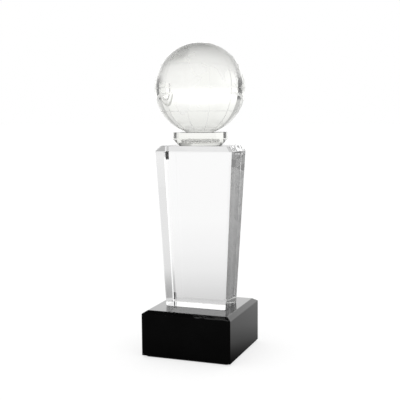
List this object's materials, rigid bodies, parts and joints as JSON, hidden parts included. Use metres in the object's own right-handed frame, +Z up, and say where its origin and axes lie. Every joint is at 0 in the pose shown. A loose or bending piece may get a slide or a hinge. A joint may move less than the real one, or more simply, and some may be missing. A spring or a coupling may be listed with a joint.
{
  "type": "column trophy",
  "caption": "Clear crystal ball with an engraved globe, seated on a round collar and a tapered rectangular crystal column, on a square black crystal base.",
  "frame": {"origin": "middle of the felt pad's underside, on the surface that the trophy stands on", "axes": "+Z up along the column's middle line to the top of the globe, +X along the front face to the right seen from the front, -Y out of the front face"},
  "size_m": [0.0616, 0.0616, 0.2061],
  "materials": {
    "clear_crystal": "colourless optical glass, polished, with frosted engraving on the ball",
    "black_crystal": "opaque black glass, polished",
    "adhesive": "clear cured adhesive film",
    "felt": "black felt"
  },
  "bodies": {
    "root": {"foot_pad": "felt", "base": "black_crystal", "column_bond": "adhesive", "column": "clear_crystal", "collar_bond": "adhesive", "collar": "clear_crystal", "globe_bond": "adhesive", "globe": "clear_crystal"}
  },
  "joints": []
}
